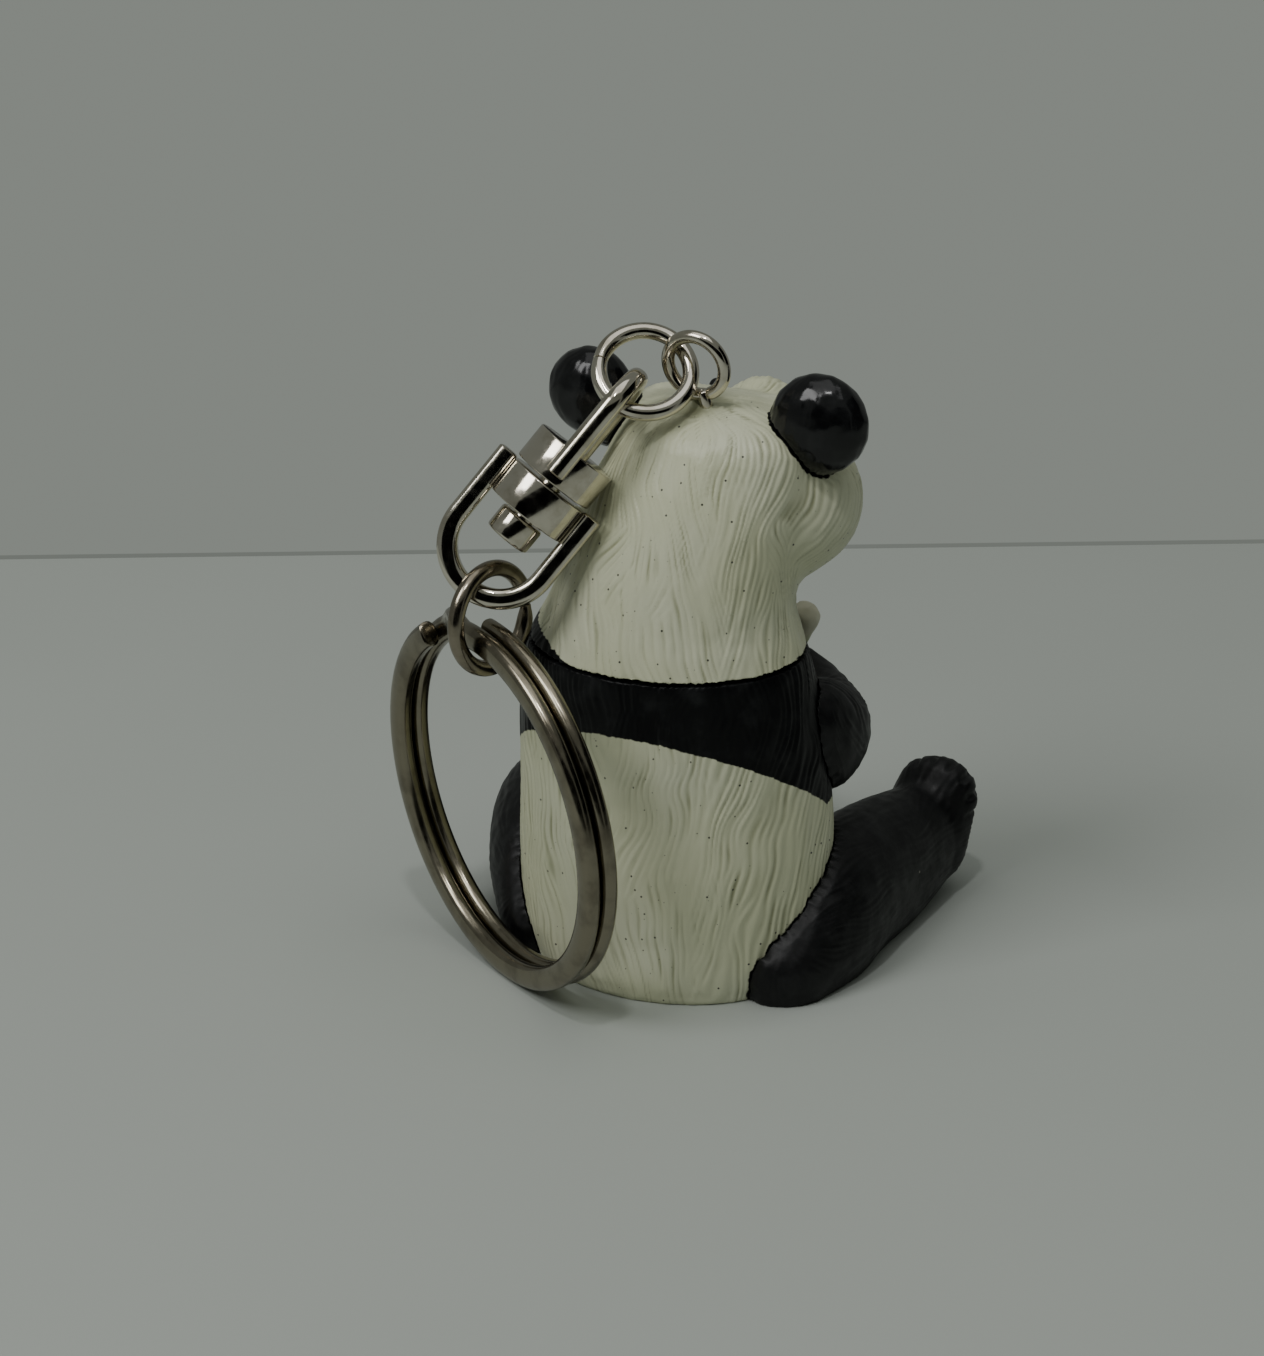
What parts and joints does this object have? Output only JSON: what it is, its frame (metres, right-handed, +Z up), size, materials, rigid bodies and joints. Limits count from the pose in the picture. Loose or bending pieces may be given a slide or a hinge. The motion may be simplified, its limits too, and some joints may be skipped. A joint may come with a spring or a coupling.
{
  "type": "panda figure key ring",
  "caption": "Seated moulded panda figure with a screw eye in its crown, hung by jump rings and a riveted swivel from a coiled split ring.",
  "frame": {"origin": "middle of the seat's flat underside, on the surface the panda sits on", "axes": "+Z up, the panda faces -Y, its right side is at -X"},
  "size_m": [0.0378, 0.0397, 0.0479],
  "materials": {
    "cream_vinyl": "soft satin moulded vinyl with fur grooves",
    "black_paint": "moulded vinyl painted glossy black",
    "green_paint": "moulded vinyl painted pale green",
    "nickel_plate": "bright nickel plate on steel and zinc",
    "satin_nickel": "warm satin nickel on spring steel"
  },
  "bodies": {
    "figure": {"head": "cream_vinyl", "torso": "cream_vinyl", "arm_left": "black_paint", "arm_right": "black_paint", "leg_left": "black_paint", "leg_right": "black_paint", "ear_left": "black_paint", "ear_right": "black_paint", "bamboo_shoot": "green_paint", "screw_eye": "nickel_plate"},
    "top_ring": {"top_jump_ring": "nickel_plate"},
    "bail": {"swivel_bail": "nickel_plate", "swivel_pin": "nickel_plate"},
    "swivel_loop": {"swivel_frame": "nickel_plate"},
    "lower_ring": {"lower_jump_ring": "nickel_plate"},
    "key_ring": {"split_ring": "satin_nickel"}
  },
  "joints": [
    {"name": "top_ring_swing", "type": "hinge", "parent": "figure", "child": "top_ring", "pos_m": [-0.0007, -0.00066, 0.04311], "axis": [0.9743, -0.0239, 0.2238], "range_deg": [0, 45]},
    {"name": "bail_swing", "type": "hinge", "parent": "top_ring", "child": "bail", "pos_m": [0.00297, 0.00356, 0.04296], "axis": [0.8946, 0.0132, 0.4466], "range_deg": [0, 90]},
    {"name": "swivel_spin", "type": "hinge", "parent": "bail", "child": "swivel_loop", "pos_m": [0.00784, 0.00644, 0.03617], "axis": [0.489, 0.447, -0.749], "range_deg": [0, 120]},
    {"name": "lower_ring_swing", "type": "hinge", "parent": "swivel_loop", "child": "lower_ring", "pos_m": [0.01158, 0.00996, 0.03017], "axis": [0.8297, 0.1005, 0.5491], "range_deg": [0, 90]},
    {"name": "split_ring_swing", "type": "hinge", "parent": "lower_ring", "child": "key_ring", "pos_m": [0.01075, 0.01195, 0.02557], "axis": [-0.2326, -0.6273, -0.7433], "range_deg": [0, 30]}
  ]
}
